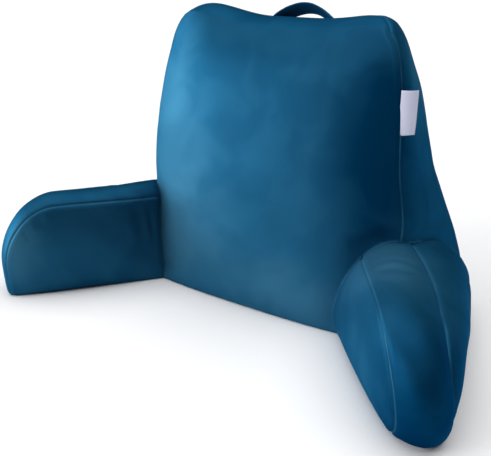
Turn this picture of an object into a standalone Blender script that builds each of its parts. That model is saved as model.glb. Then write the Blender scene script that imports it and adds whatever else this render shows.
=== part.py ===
"""Reading pillow with arms: a backrest cushion, two arm cushions, a carry handle and a woven tag.

Metres, +Z up. The pillow stands on the plane z = 0 and the sitter leans on its -Y side. Each filled cushion
starts as a cube, is sliced into a cage, and its cage points are moved by formulas that read the short tables
below. Subdivision Surface rounds the cage. The arms and the handle run into the backrest and are trimmed by a
copy of it that is a seam gap larger, so that each piece ends against its neighbour.
"""
import math
from collections import namedtuple

import bmesh
import bpy
import numpy as np

OBJECT_NAME = "reading_pillow_with_arms"

# Driving dimensions of the whole pillow
BACK_HEIGHT = 0.470           # floor to the seam at the upper corners
SEAM_GAP = 0.0003             # sewn pieces stand this far apart
OUTLINE_CENTRE = (0.007, 0.010)   # middle of the outline on the floor, moved to the origin
CUSHION_LEVELS = 1            # subdivision of the cages
SEAM_CREASE = 0.55            # how far a sewn edge keeps its line
FLOOR_CREASE = 1.0

# Backrest: one row for each height, measured along the front and the back seam of the side gusset
BackRow = namedtuple("BackRow", "height front_half front_y back_half back_y sway")
BACK_ROWS = (
    BackRow(0.000, 0.222, 0.004, 0.292, 0.208, 0.000),
    BackRow(0.060, 0.230, 0.016, 0.303, 0.218, 0.001),
    BackRow(0.120, 0.236, 0.030, 0.288, 0.216, 0.003),
    BackRow(0.180, 0.238, 0.044, 0.261, 0.208, 0.005),
    BackRow(0.240, 0.231, 0.056, 0.238, 0.200, 0.003),
    BackRow(0.300, 0.225, 0.068, 0.222, 0.192, -0.002),
    BackRow(0.360, 0.217, 0.080, 0.207, 0.184, -0.004),
    BackRow(0.420, 0.207, 0.091, 0.192, 0.176, -0.004),
    BackRow(0.480, 0.198, 0.101, 0.180, 0.168, -0.004),
)
CORNER_PULL = 0.072           # how far the upper corners are drawn in, as a share of the half width
CORNER_DROP = 0.061           # how far they drop, as a share of the upper half's height
CORNER_POWER = 13.0
TOP_DIP = 0.040               # how far the top edge sags at the middle, as a share of the height
FRONT_CROWN = 0.052           # swell of the front panel
FRONT_CROWN_FLOOR = 0.22      # share of that swell that is left at the floor
FRONT_CROWN_FULL = 0.45       # height where it is full, as a share
BACK_CROWN = 0.035            # swell of the back panel
BACK_CROWN_FULL = 0.20        # height where it is full, as a share
SIDE_CROWN = 0.014            # swell of the side gusset
TOP_CROWN = 0.010             # swell of the top gusset

# Arms: one row for each distance from the root: the feet and seams of the strip beside the arm's inner line,
# the seams' heights, and how far the outer panel swells
ArmRow = namedtuple("ArmRow", "run inner_foot inner_seam outer_seam outer_foot "
                              "inner_height outer_height outer_swell")
RIGHT_ROWS = (
    ArmRow(-0.10, 0.000, 0.018, 0.126, 0.186, 0.144, 0.140, 0.020),
    ArmRow(-0.05, 0.000, 0.013, 0.122, 0.208, 0.146, 0.142, 0.038),
    ArmRow(0.00, 0.000, 0.008, 0.108, 0.196, 0.150, 0.141, 0.050),
    ArmRow(0.06, 0.000, 0.003, 0.102, 0.164, 0.152, 0.138, 0.048),
    ArmRow(0.12, 0.000, -0.001, 0.095, 0.126, 0.154, 0.136, 0.047),
    ArmRow(0.20, 0.000, -0.012, 0.077, 0.084, 0.156, 0.132, 0.046),
    ArmRow(0.30, 0.002, -0.026, 0.052, 0.070, 0.147, 0.134, 0.046),
)
LEFT_ROWS = (
    ArmRow(-0.10, 0.000, 0.018, 0.126, 0.186, 0.144, 0.140, 0.020),
    ArmRow(-0.05, 0.000, 0.014, 0.122, 0.208, 0.147, 0.142, 0.036),
    ArmRow(0.00, 0.000, 0.012, 0.108, 0.196, 0.151, 0.140, 0.046),
    ArmRow(0.06, 0.000, 0.009, 0.101, 0.162, 0.153, 0.137, 0.042),
    ArmRow(0.12, 0.000, 0.007, 0.095, 0.128, 0.156, 0.135, 0.038),
    ArmRow(0.20, 0.000, 0.004, 0.082, 0.094, 0.157, 0.136, 0.036),
    ArmRow(0.30, 0.002, 0.000, 0.064, 0.070, 0.146, 0.142, 0.036),
)
# side, rows, length, angle out from straight ahead, root beside the middle, swells of the inner panel, the
# strip and the nose, how much shorter the outer side is, and how far the nose curls under at the floor
ArmShape = namedtuple("ArmShape", "side rows length splay root_x inner_crown strip_crown nose_crown "
                                  "skew undercut")
ARM_SHAPES = {
    "arm_right": ArmShape(1, RIGHT_ROWS, 0.284, 40.2, 0.176, 0.022, 0.014, 0.032, 0.002, 0.034),
    "arm_left": ArmShape(-1, LEFT_ROWS, 0.280, 39.4, 0.172, 0.020, 0.018, 0.015, 0.020, 0.020),
}
ARM_INSIDE_INNER = 0.040      # how far the inner side runs on into the backrest before it is trimmed
ARM_INSIDE_OUTER = 0.100
NOSE_SETBACK = 0.023          # rounding of the nose's upper corner, back from the tip
NOSE_SETBACK_POWER = 3.0
NOSE_DROP = 0.155             # and down from the strip, as a share of the seam's height
NOSE_DROP_POWER = 13.0
NOSE_FOOT_LIFT = 0.008        # how far the tip's lowest edge lifts off the floor
NOSE_FOOT_POWER = 30.0

# Carry handle: a folded strap that stands as a low arch and leans back
HANDLE_HALF_SPAN = 0.062
HANDLE_BOW = 0.10             # how far the arch bulges past a half ellipse, as a share
HANDLE_RISE = 0.0275
HANDLE_FOOT_DEPTH = 0.020     # how far the feet run on below the top before they are trimmed
HANDLE_LEAN = math.radians(45.0)
HANDLE_FOOT_Y = 0.161
HANDLE_FOOT_Z = 0.4525
HANDLE_WIDTH = 0.030
HANDLE_PINCH = 0.5            # width that is left where the feet are gathered into the seam
HANDLE_THICKNESS = 0.004
HANDLE_STEPS = 18

# Woven tag: a folded ribbon that leaves the front seam and curls back along the side gusset
TAG_LOW = 0.3145
TAG_HIGH = 0.3775
TAG_LENGTH = 0.0300
TAG_THICKNESS = 0.0014
TAG_INSIDE = 0.007            # how far it runs on into the seam before it is trimmed
TAG_START_ANGLE = math.radians(12.0)
TAG_END_ANGLE = math.radians(54.0)
TAG_STEPS_LONG = 6
TAG_STEPS_HIGH = 4

# Cage lines: where each cube is sliced, in the cube's own -1..1 or 0..1 coordinates
BACK_ACROSS = (-0.93, -0.84, -0.70, -0.50, -0.25, 0.0, 0.25, 0.50, 0.70, 0.84, 0.93)
BACK_THROUGH = (-0.75, -0.30, 0.30, 0.75)
BACK_UP = (0.06, 0.14, 0.28, 0.42, 0.56, 0.70, 0.80, 0.88, 0.94)
ARM_ALONG = (0.12, 0.26, 0.40, 0.54, 0.68, 0.80, 0.89, 0.955)
ARM_ACROSS = (-0.70, -0.25, 0.25, 0.70)
ARM_UP = (0.07, 0.20, 0.40, 0.60, 0.76, 0.88, 0.95)

VELVET_COLOUR = (0.022, 0.138, 0.258, 1.0)
VELVET_ROUGHNESS = 0.85
TAG_COLOUR = (0.62, 0.63, 0.78, 1.0)
TAG_ROUGHNESS = 0.6


def clear_scene():
    for old in list(bpy.data.objects):
        bpy.data.objects.remove(old, do_unlink=True)


def new_collection(name):
    collection = bpy.data.collections.new(name)
    bpy.context.scene.collection.children.link(collection)
    return collection


def finish_of(name, colour, roughness):
    """A cloth finish with no metal in it."""
    material = bpy.data.materials.new(name)
    material.use_nodes = True
    shader = material.node_tree.nodes["Principled BSDF"]
    shader.inputs["Base Color"].default_value = colour
    shader.inputs["Roughness"].default_value = roughness
    shader.inputs["Metallic"].default_value = 0.0
    material.diffuse_color = colour
    return material


def read_rows(rows, column, at):
    """Read one column at any value of the first column, on a smooth curve through the rows."""
    knots = np.array([row[0] for row in rows])
    values = np.array([getattr(row, column) for row in rows])
    slopes = np.gradient(values, knots)
    at = np.clip(at, knots[0], knots[-1])
    low = np.clip(np.searchsorted(knots, at, side="right") - 1, 0, len(knots) - 2)
    step = knots[low + 1] - knots[low]
    t = (at - knots[low]) / step
    rise = values[low] * (1 + 2 * t) * (1 - t) ** 2 + values[low + 1] * t * t * (3 - 2 * t)
    bend = slopes[low] * step * t * (1 - t) ** 2 - slopes[low + 1] * step * t * t * (1 - t)
    return rise + bend


def cage_from_cube(first_low, cuts):
    """A cube sliced by planes: first_low..1 across, -1..1 through and 0..1 up."""
    cage = bmesh.new()
    bmesh.ops.create_cube(cage, size=2.0)
    for corner in cage.verts:
        corner.co.x = max(corner.co.x, first_low)
        corner.co.z = max(corner.co.z, 0.0)
    for axis, places in enumerate(cuts):
        normal = [0.0, 0.0, 0.0]
        normal[axis] = 1.0
        for place in places:
            point = [value * place for value in normal]
            everything = cage.verts[:] + cage.edges[:] + cage.faces[:]
            bmesh.ops.bisect_plane(cage, geom=everything, plane_co=point, plane_no=normal)
    return cage


def crease_sewn_edges(cage, first_low):
    """Crease the seams at both sides of the strip part way, and the rim on the floor fully."""
    layer = cage.edges.layers.float.new("crease_edge")
    lows = (first_low, -1.0, 0.0)
    for edge in cage.edges:
        start, end = edge.verts[0].co, edge.verts[1].co
        on_side = [False, False, False]
        for axis in range(3):
            for limit in (lows[axis], 1.0):
                if abs(start[axis] - limit) < 1e-6 and abs(end[axis] - limit) < 1e-6:
                    on_side[axis] = True
        if sum(on_side) == 2 and max(start.z, end.z) < 1e-6:
            edge[layer] = FLOOR_CREASE
        elif sum(on_side) == 2 and on_side[1]:
            edge[layer] = SEAM_CREASE


def shape_cage(cage, place):
    """Move every cage point to where the piece's formula puts it."""
    corners = np.array([tuple(corner.co) for corner in cage.verts])
    placed = place(corners[:, 0], corners[:, 1], corners[:, 2])
    placed[:, 0] -= OUTLINE_CENTRE[0]
    placed[:, 1] -= OUTLINE_CENTRE[1]
    for corner, target in zip(cage.verts, placed):
        corner.co = target
    bmesh.ops.recalc_face_normals(cage, faces=cage.faces[:])
    if cage.calc_volume(signed=True) < 0:
        bmesh.ops.reverse_faces(cage, faces=cage.faces[:])


def object_from_cage(cage, name, collection, material, levels):
    mesh = bpy.data.meshes.new(name)
    cage.to_mesh(mesh)
    cage.free()
    mesh.materials.append(material)
    mesh.shade_smooth()
    piece = bpy.data.objects.new(name, mesh)
    collection.objects.link(piece)
    if levels:
        rounding = piece.modifiers.new("Rounding", "SUBSURF")
        rounding.levels = levels
        rounding.render_levels = levels
    facets = piece.modifiers.new("Facets", "TRIANGULATE")
    facets.quad_method = "FIXED"
    return piece


def place_backrest(across, through, up):
    """Cube to backrest: across -1..1, through -1 front..+1 back, up 0..1.

    The gusset's two seams follow the rows. The upper corners are drawn in, the top sags between them,
    and the four panels swell between their seams.
    """
    edge = np.abs(across)
    depth = (through + 1) / 2
    above = np.clip(2 * up - 1, 0, None)
    high = 0.5 + 0.5 * above * (1 - CORNER_DROP * edge ** CORNER_POWER)
    z = BACK_HEIGHT * np.where(up > 0.5, high, up)
    half = (1 - depth) * read_rows(BACK_ROWS, "front_half", z) + depth * read_rows(BACK_ROWS, "back_half", z)
    x = across * (1 - CORNER_PULL * above ** CORNER_POWER) * half + read_rows(BACK_ROWS, "sway", z)
    y = (1 - depth) * read_rows(BACK_ROWS, "front_y", z) + depth * read_rows(BACK_ROWS, "back_y", z)
    z = z * (1 - TOP_DIP * (1 - edge ** 2.2) ** 1.2 * up ** 4)

    foot = 1 - (1 - np.clip(up / FRONT_CROWN_FULL, 0, 1)) ** 2
    fullness = (1 - up ** 5) ** 0.75 * (FRONT_CROWN_FLOOR + (1 - FRONT_CROWN_FLOOR) * foot)
    y = y - FRONT_CROWN * (1 - edge ** 3.6) ** 0.75 * fullness * (1 - depth) ** 2
    hem = np.clip(up / BACK_CROWN_FULL, 0, 1) ** 0.7
    y = y + BACK_CROWN * (1 - edge ** 3) ** 0.8 * (1 - up ** 4) ** 0.8 * hem * depth ** 2
    between_seams = (1 - through ** 2) ** 0.75
    x = x + np.sign(across) * SIDE_CROWN * between_seams * edge ** 8 * (1 - up ** 6)
    z = z + TOP_CROWN * between_seams * up ** 10
    return np.stack([x, y, z], axis=1)


def place_arm(shape, along, through, up):
    """Cube to arm: along 0 root..1 nose, through -1 inner..+1 outer, up 0..1.

    The strip's seams follow the rows. The nose is rounded at its top, curls under at the floor, and the
    inner panel, the outer panel, the strip and the nose swell between the seams.
    """
    outer = (through + 1) / 2
    start = -ARM_INSIDE_INNER - (ARM_INSIDE_OUTER - ARM_INSIDE_INNER) * outer
    setback = NOSE_SETBACK * along * up ** NOSE_SETBACK_POWER
    run = start + (shape.length - start) * along - setback
    run = run - shape.undercut * (1 - up) ** 6 * along ** 6 - shape.skew * outer * along ** 3
    tall = (1 - outer) * read_rows(shape.rows, "inner_height", run)
    tall = tall + outer * read_rows(shape.rows, "outer_height", run)
    z = tall * up * (1 - NOSE_DROP * along ** NOSE_DROP_POWER)
    z = z + NOSE_FOOT_LIFT * (1 - up) ** 9 * along ** NOSE_FOOT_POWER * (up > 0)

    inner_foot = read_rows(shape.rows, "inner_foot", run)
    inner_side = inner_foot + (read_rows(shape.rows, "inner_seam", run) - inner_foot) * up
    outer_foot = read_rows(shape.rows, "outer_foot", run)
    outer_side = outer_foot + (read_rows(shape.rows, "outer_seam", run) - outer_foot) * up
    near_nose = (1 - along ** 6) ** 0.8
    inner_swell = shape.inner_crown * (1 - np.abs(2 * up ** 0.85 - 1) ** 2.4) ** 0.8
    outer_swell = read_rows(shape.rows, "outer_swell", run) * (1 - np.abs(2 * up ** 1.2 - 1) ** 2.4) ** 0.8
    beside = (1 - outer) * inner_side + outer * outer_side
    beside = beside + near_nose * (outer_swell * outer ** 2 - inner_swell * (1 - outer) ** 2)

    between_seams = (1 - through ** 2) ** 0.7
    z = z + shape.strip_crown * between_seams * up ** 8 * (1 - along ** 10)
    run = run + shape.nose_crown * between_seams * along ** 7
    angle = math.radians(shape.splay)
    x = shape.root_x + run * math.sin(angle) + beside * math.cos(angle)
    y = -run * math.cos(angle) + beside * math.sin(angle)
    return np.stack([shape.side * x, y, z], axis=1)


def place_handle(along, through, up):
    """Cube to strap: along -1..1 from foot to foot, through the width, up the thickness.

    The middle line is a low arch with straight feet, in a plane that leans back.
    """
    turn = np.clip((along + 1) / 2, 0, 1) * math.pi
    x = -HANDLE_HALF_SPAN * np.cos(turn) * (1 + HANDLE_BOW * np.sin(turn) ** 2)
    lift = HANDLE_RISE * np.sin(turn) ** 1.4 - HANDLE_FOOT_DEPTH * np.cos(turn) ** 12
    slope_x = HANDLE_HALF_SPAN * np.sin(turn)
    slope_z = HANDLE_RISE * np.cos(turn)
    size = np.hypot(slope_x, slope_z) + 1e-9
    normal_x = -slope_z / size
    normal_z = slope_x / size
    out = (up - 0.5) * HANDLE_THICKNESS
    x = x + out * normal_x
    rise = lift + out * normal_z
    wide = through * HANDLE_WIDTH / 2 * (HANDLE_PINCH + (1 - HANDLE_PINCH) * np.sin(turn) ** 0.8)
    y = HANDLE_FOOT_Y + rise * math.sin(HANDLE_LEAN) + wide * math.cos(HANDLE_LEAN)
    z = HANDLE_FOOT_Z + rise * math.cos(HANDLE_LEAN) - wide * math.sin(HANDLE_LEAN)
    return np.stack([x, y, z], axis=1)


def place_tag(along, through, up):
    """Cube to tag: along 0..1 out of the seam, through -1 gusset side..+1 outside, up 0..1."""
    height = TAG_LOW + (TAG_HIGH - TAG_LOW) * up
    share = height / BACK_HEIGHT
    seam = place_backrest(np.ones_like(along), -np.ones_like(along), share)
    bend = TAG_END_ANGLE - TAG_START_ANGLE
    angle = TAG_START_ANGLE + bend * along
    radius = TAG_LENGTH / bend
    reach_x = radius * (np.sin(angle) - math.sin(TAG_START_ANGLE))
    reach_y = radius * (math.cos(TAG_START_ANGLE) - np.cos(angle))
    out = through * TAG_THICKNESS / 2
    x = seam[:, 0] - TAG_INSIDE + reach_x + out * np.sin(angle)
    y = seam[:, 1] + reach_y - out * np.cos(angle)
    return np.stack([x, y, height], axis=1)


def backrest_cage():
    cage = cage_from_cube(-1.0, (BACK_ACROSS, BACK_THROUGH, BACK_UP))
    crease_sewn_edges(cage, -1.0)
    shape_cage(cage, place_backrest)
    return cage


def trim_against(piece, cutter):
    trim = piece.modifiers.new("Trim at the seam", "BOOLEAN")
    trim.operation = "DIFFERENCE"
    trim.solver = "EXACT"
    trim.object = cutter


def make_cutter(material, cutters):
    """The backrest a seam gap larger, which trims what is sewn to it."""
    cutter = object_from_cage(backrest_cage(), "backrest_cutter", cutters, material, CUSHION_LEVELS)
    growth = cutter.modifiers.new("Seam gap", "DISPLACE")
    growth.strength = SEAM_GAP
    growth.mid_level = 0.0
    cutter.hide_render = True
    cutter.display_type = "WIRE"
    return cutter


def make_arm(name, collection, material, cutter):
    shape = ARM_SHAPES[name]
    cage = cage_from_cube(0.0, (ARM_ALONG, ARM_ACROSS, ARM_UP))
    crease_sewn_edges(cage, 0.0)
    shape_cage(cage, lambda along, through, up: place_arm(shape, along, through, up))
    arm = object_from_cage(cage, name, collection, material, CUSHION_LEVELS)
    trim_against(arm, cutter)


def make_handle(collection, material, cutter):
    steps = [2 * step / HANDLE_STEPS - 1 for step in range(1, HANDLE_STEPS)]
    cage = cage_from_cube(-1.0, (steps, (-0.8, 0.0, 0.8), ()))
    shape_cage(cage, place_handle)
    handle = object_from_cage(cage, "handle", collection, material, 0)
    trim_against(handle, cutter)


def make_tag(collection, material, cutter):
    along = [step / TAG_STEPS_LONG for step in range(1, TAG_STEPS_LONG)]
    up = [step / TAG_STEPS_HIGH for step in range(1, TAG_STEPS_HIGH)]
    cage = cage_from_cube(0.0, (along, (), up))
    shape_cage(cage, place_tag)
    tag = object_from_cage(cage, "label", collection, material, 0)
    trim_against(tag, cutter)


def build():
    clear_scene()
    pieces = new_collection(OBJECT_NAME)
    cutters = new_collection("cutters")
    velvet = finish_of("velvet", VELVET_COLOUR, VELVET_ROUGHNESS)
    strap = finish_of("handle_velvet", VELVET_COLOUR, VELVET_ROUGHNESS)
    ribbon = finish_of("tag_ribbon", TAG_COLOUR, TAG_ROUGHNESS)
    object_from_cage(backrest_cage(), "backrest", pieces, velvet, CUSHION_LEVELS)
    cutter = make_cutter(velvet, cutters)
    for name in ARM_SHAPES:
        make_arm(name, pieces, velvet, cutter)
    make_handle(pieces, strap, cutter)
    make_tag(pieces, ribbon, cutter)


build()
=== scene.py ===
"""Reading pillow with arms, dressed: velvet cushions with sewn seams, a folded strap handle and a bare tag."""
import math
from collections import namedtuple

import bpy
import numpy as np
from mathutils import Matrix, Vector
from mathutils.bvhtree import BVHTree


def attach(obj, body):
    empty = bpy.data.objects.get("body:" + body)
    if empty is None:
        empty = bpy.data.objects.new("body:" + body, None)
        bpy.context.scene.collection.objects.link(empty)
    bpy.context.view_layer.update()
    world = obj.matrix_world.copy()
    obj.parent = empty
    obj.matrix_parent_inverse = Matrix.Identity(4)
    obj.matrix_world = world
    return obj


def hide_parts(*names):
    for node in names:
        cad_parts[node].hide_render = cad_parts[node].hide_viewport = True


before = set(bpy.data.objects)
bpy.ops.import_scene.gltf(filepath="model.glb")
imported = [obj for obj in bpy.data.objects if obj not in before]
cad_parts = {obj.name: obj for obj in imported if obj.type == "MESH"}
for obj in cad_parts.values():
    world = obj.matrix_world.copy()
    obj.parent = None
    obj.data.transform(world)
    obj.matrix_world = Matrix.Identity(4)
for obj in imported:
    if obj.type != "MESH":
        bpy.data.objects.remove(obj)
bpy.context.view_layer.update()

# --- Camera ---------------------------------------------------------------------------------------------------
# A product view from the sitter's left, a little above the arms. The angles were fitted to where the pillow's
# seams and floor line fall in the picture, which is 491 px wide.
CAMERA_AZIMUTH = math.radians(32.5)
CAMERA_ELEVATION = math.radians(22.6)
CAMERA_ROLL = math.radians(0.75)
CAMERA_DISTANCE = 1.158
CAMERA_TARGET = Vector((-0.007, -0.017, 0.141))
CAMERA_LENS = 51.91
CAMERA_SENSOR = 36.0


def make_camera():
    """Look at the target along azimuth and elevation: back, right and up are the camera's own axes."""
    back = Vector((math.sin(CAMERA_AZIMUTH) * math.cos(CAMERA_ELEVATION),
                   -math.cos(CAMERA_AZIMUTH) * math.cos(CAMERA_ELEVATION),
                   math.sin(CAMERA_ELEVATION)))
    level = Vector((math.cos(CAMERA_AZIMUTH), math.sin(CAMERA_AZIMUTH), 0.0))
    rise = back.cross(level)
    right = math.cos(CAMERA_ROLL) * level + math.sin(CAMERA_ROLL) * rise
    up = back.cross(right)
    place = CAMERA_TARGET + back * CAMERA_DISTANCE
    lens = bpy.data.cameras.new("camera")
    lens.lens = CAMERA_LENS
    lens.sensor_width = CAMERA_SENSOR
    camera = bpy.data.objects.new("camera", lens)
    camera.matrix_world = Matrix((right, up, back)).transposed().to_4x4()
    camera.location = place
    bpy.context.scene.collection.objects.link(camera)
    bpy.context.scene.camera = camera


make_camera()

# --- Backrest cushion -----------------------------------------------------------------------------------------
# A filled velvet cushion sewn from a front panel, a gusset that is narrow over the top and wide down both sides,
# and a back panel that spreads to the floor. The seams are plain, turned in, with no piping.
OUTLINE_CENTRE = np.array((0.007, 0.010, 0.0))    # the tables' origin to the middle of the outline
BACK_HEIGHT = 0.470
BackRow = namedtuple("BackRow", "height front_half front_y back_half back_y sway")
BACK_ROWS = (                 # half widths and places of the gusset's two seams, and the lean to one side
    BackRow(0.000, 0.224, -0.002, 0.284, 0.208, 0.003),
    BackRow(0.060, 0.2385, 0.013, 0.289, 0.218, 0.009),
    BackRow(0.120, 0.2460, 0.029, 0.270, 0.216, 0.0115),
    BackRow(0.180, 0.2405, 0.044, 0.250, 0.208, 0.008),
    BackRow(0.240, 0.2340, 0.056, 0.2345, 0.200, -0.001),
    BackRow(0.300, 0.228, 0.068, 0.226, 0.192, -0.006),
    BackRow(0.360, 0.222, 0.080, 0.213, 0.184, -0.007),
    BackRow(0.420, 0.211, 0.091, 0.195, 0.176, -0.009),
    BackRow(0.480, 0.200, 0.101, 0.180, 0.168, -0.009),
)
CORNER_PULL = 0.072           # how far the upper corners are drawn in, as a share of the half width
CORNER_DROP = 0.061           # and down
CORNER_POWER = 13.0           # how close to the corner that begins
TOP_DIP = 0.040               # how far the top sags between its corners, as a share of the height
TOP_DIP_SHAPE = (2.2, 1.2)    # the two powers of its swell, as for the crowns below
TOP_DIP_RISE = 4              # powers named RISE, EDGE and TOP say how close to there a form grows or fades
FRONT_CROWN = 0.052
FRONT_CROWN_SHAPE = (2.6, 0.85)
FRONT_CROWN_TOP = (5, 0.85)
FRONT_CROWN_FLOOR = 0.28      # share of the crown that is left at the floor
FRONT_CROWN_FULL = 0.45       # how far up it is full
BACK_CROWN = 0.035
BACK_CROWN_SHAPE = (3.2, 0.95)
BACK_CROWN_TOP = (4, 0.9)
BACK_CROWN_FULL = 0.20
BACK_CROWN_HEM = 0.7          # power with which it grows from the floor to there
SIDE_CROWN = 0.010            # of the gusset, on the sides and over the top
SIDE_CROWN_EDGE = 8
SIDE_CROWN_TOP = 6
TOP_CROWN = 0.010
TOP_CROWN_RISE = 10
FLOOR_TUCK = 0.006            # radius with which a cover turns under at the floor
FLOOR_CALM = 0.030            # below this height hills and hollows fade out, so that the bottom lies flat

BACK_FOLDS = (                # lift, width and path of each soft crease
    (0.0025, 0.010, ((0.2500, 0.0700, 0.1630), (0.2666, 0.1204, 0.1495), (0.2745, 0.1850, 0.1330))),
    (-0.0015, 0.010, ((0.2480, 0.0800, 0.1840), (0.2630, 0.1200, 0.1720), (0.2700, 0.1800, 0.1560))),
    (-0.0030, 0.012, ((0.2450, 0.0330, 0.1750), (0.2152, 0.0139, 0.1690), (0.1700, -0.0060, 0.1500))),
    (0.0016, 0.018, ((0.1900, 0.0860, 0.4400), (0.1564, 0.0663, 0.4087), (0.0950, 0.0490, 0.3880))),
    (0.0020, 0.012, ((0.2058, 0.1324, 0.3748), (0.2240, 0.1717, 0.2649), (0.2557, 0.1738, 0.1773))),
    (-0.0022, 0.012, ((0.2080, 0.1050, 0.3800), (0.2260, 0.1250, 0.2800), (0.2450, 0.1300, 0.1900))),
)
BACK_PAINTED_LIGHT = (                  # x, y, z, three radii and amount of each bell of painted light, painted shade where the amount is negative
    (-0.205, 0.020, 0.140, 0.140, 0.100, 0.160, 1.20),
    (-0.205, 0.040, 0.340, 0.060, 0.080, 0.110, 0.80),
    (0.060, -0.020, 0.050, 0.190, 0.060, 0.070, 0.75),
    (0.195, 0.050, 0.340, 0.065, 0.055, 0.150, -0.85),
    (0.190, 0.020, 0.210, 0.055, 0.050, 0.080, -0.45),
    (0.205, 0.130, 0.380, 0.040, 0.040, 0.120, 0.95),
)
BACK_HILLS = ((0.0008, 0.13, 5), (0.0002, 0.05, 6))      # height, wavelength and seed of the soft unevenness
BACK_SEAM_SEED = 20
BACK_STEPS = (170, 50, 160)   # across, through, up
GATHER = 0.7                  # how far grid lines are drawn towards the seams


def read_rows(rows, column, at):
    """Read one column at any value of the first, on a smooth curve through the rows (cubic Hermite pieces)."""
    knots = np.array([row[0] for row in rows])
    values = np.array([getattr(row, column) for row in rows])
    slopes = np.gradient(values, knots)
    at = np.clip(at, knots[0], knots[-1])
    low = np.clip(np.searchsorted(knots, at, side="right") - 1, 0, len(knots) - 2)
    step = knots[low + 1] - knots[low]
    t = (at - knots[low]) / step
    rise = values[low] * (1 + 2 * t) * (1 - t) ** 2 + values[low + 1] * t * t * (3 - 2 * t)
    bend = slopes[low] * step * t * (1 - t) ** 2 - slopes[low + 1] * step * t * t * (1 - t)
    return rise + bend


def grid_values(low, high, steps, gather):
    """Grid lines from low to high, drawn together towards both ends: u = t - gather sin(2 pi t) / 2 pi."""
    t = np.linspace(0.0, 1.0, steps + 1)
    return low + (high - low) * (t - gather * np.sin(2 * np.pi * t) / (2 * np.pi))


def box_skin(across, through, up):
    """The skin of a box of grid lines: each point's three coordinates and indices, and quads that face out."""
    lines = (across, through, up)
    last = [len(line) - 1 for line in lines]
    corners = []
    for axis in range(3):
        first, second = [other for other in range(3) if other != axis]
        one, two = np.meshgrid(np.arange(last[first]), np.arange(last[second]), indexing="ij")
        for end in (0, last[axis]):
            quad = np.zeros(one.shape + (4, 3), dtype=int)
            quad[..., axis] = end
            for corner, (a, b) in enumerate(((0, 0), (1, 0), (1, 1), (0, 1))):
                quad[..., corner, first] = one + a
                quad[..., corner, second] = two + b
            if (end == 0) != (axis == 1):
                quad = quad[..., ::-1, :]
            corners.append(quad.reshape(-1, 4, 3))
    corners = np.concatenate(corners)
    sizes = np.array(last) + 1
    code = (corners[..., 0] * sizes[1] + corners[..., 1]) * sizes[2] + corners[..., 2]
    kept, quads = np.unique(code, return_inverse=True)
    quads = quads.reshape(-1, 4)
    index = np.stack([kept // (sizes[1] * sizes[2]), kept // sizes[2] % sizes[1], kept % sizes[2]], axis=1)
    place = np.stack([lines[axis][index[:, axis]] for axis in range(3)], axis=1)
    return place, index, quads


def swell(t, flatness, roundness):
    """How far a panel swells at t, 0 in its middle and 1 at its seam: (1 - t to a power) to a power."""
    return (1 - t ** flatness) ** roundness


def off_floor(points):
    """0 on the floor, rising evenly to 1 at the height FLOOR_CALM."""
    return np.clip(points[:, 2] / FLOOR_CALM, 0, 1)


def floor_tuck(z):
    """How far a cover is drawn in at height z: a quarter circle of radius FLOOR_TUCK on the floor."""
    share = np.clip(1 - z / FLOOR_TUCK, 0, 1)
    return FLOOR_TUCK * (1 - np.sqrt(1 - share ** 2))


def place_backrest(across, through, up):
    """Box to backrest: across -1..1, through -1 front..+1 back, up 0..1.

    The two seams of the gusset follow the rows. The upper corners are drawn in, the top sags between them, and
    each panel swells between its seams, less towards the floor and the top seam.
    """
    edge = np.abs(across)
    depth = (through + 1) / 2
    above = np.clip(2 * up - 1, 0, None)
    high = 0.5 + 0.5 * above * (1 - CORNER_DROP * edge ** CORNER_POWER)
    z = BACK_HEIGHT * np.where(up > 0.5, high, up)
    tuck = floor_tuck(z)
    front_half = read_rows(BACK_ROWS, "front_half", z)
    back_half = read_rows(BACK_ROWS, "back_half", z)
    half = (1 - depth) * front_half + depth * back_half - tuck
    x = across * (1 - CORNER_PULL * above ** CORNER_POWER) * half + read_rows(BACK_ROWS, "sway", z)
    y = (1 - depth) * read_rows(BACK_ROWS, "front_y", z) + depth * read_rows(BACK_ROWS, "back_y", z)
    y = y - through * tuck
    z = z * (1 - TOP_DIP * swell(edge, *TOP_DIP_SHAPE) * up ** TOP_DIP_RISE)

    foot = 1 - (1 - np.clip(up / FRONT_CROWN_FULL, 0, 1)) ** 2
    fullness = swell(up, *FRONT_CROWN_TOP) * (FRONT_CROWN_FLOOR + (1 - FRONT_CROWN_FLOOR) * foot)
    y = y - FRONT_CROWN * swell(edge, *FRONT_CROWN_SHAPE) * fullness * (1 - depth) ** 2
    hem = np.clip(up / BACK_CROWN_FULL, 0, 1) ** BACK_CROWN_HEM
    y = y + BACK_CROWN * swell(edge, *BACK_CROWN_SHAPE) * swell(up, *BACK_CROWN_TOP) * hem * depth ** 2
    between_seams = 1 - through ** 2
    x = x + np.sign(across) * SIDE_CROWN * between_seams * edge ** SIDE_CROWN_EDGE * (1 - up ** SIDE_CROWN_TOP)
    z = z + TOP_CROWN * between_seams * up ** TOP_CROWN_RISE
    return np.stack([x, y, z], axis=1) - OUTLINE_CENTRE


def normals_of(points, quads):
    """Point normals: the cross product of each quad's diagonals, summed at its corners and made unit long."""
    a, b, c, d = (points[quads[:, corner]] for corner in range(4))
    crossed = np.cross(c - a, d - b)
    total = np.zeros_like(points)
    for corner in range(4):
        np.add.at(total, quads[:, corner], crossed)
    return total / np.maximum(np.linalg.norm(total, axis=1, keepdims=True), 1e-12)


REACH_BLOCK = 8192            # points compared with a seam at a time, to save memory


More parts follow.
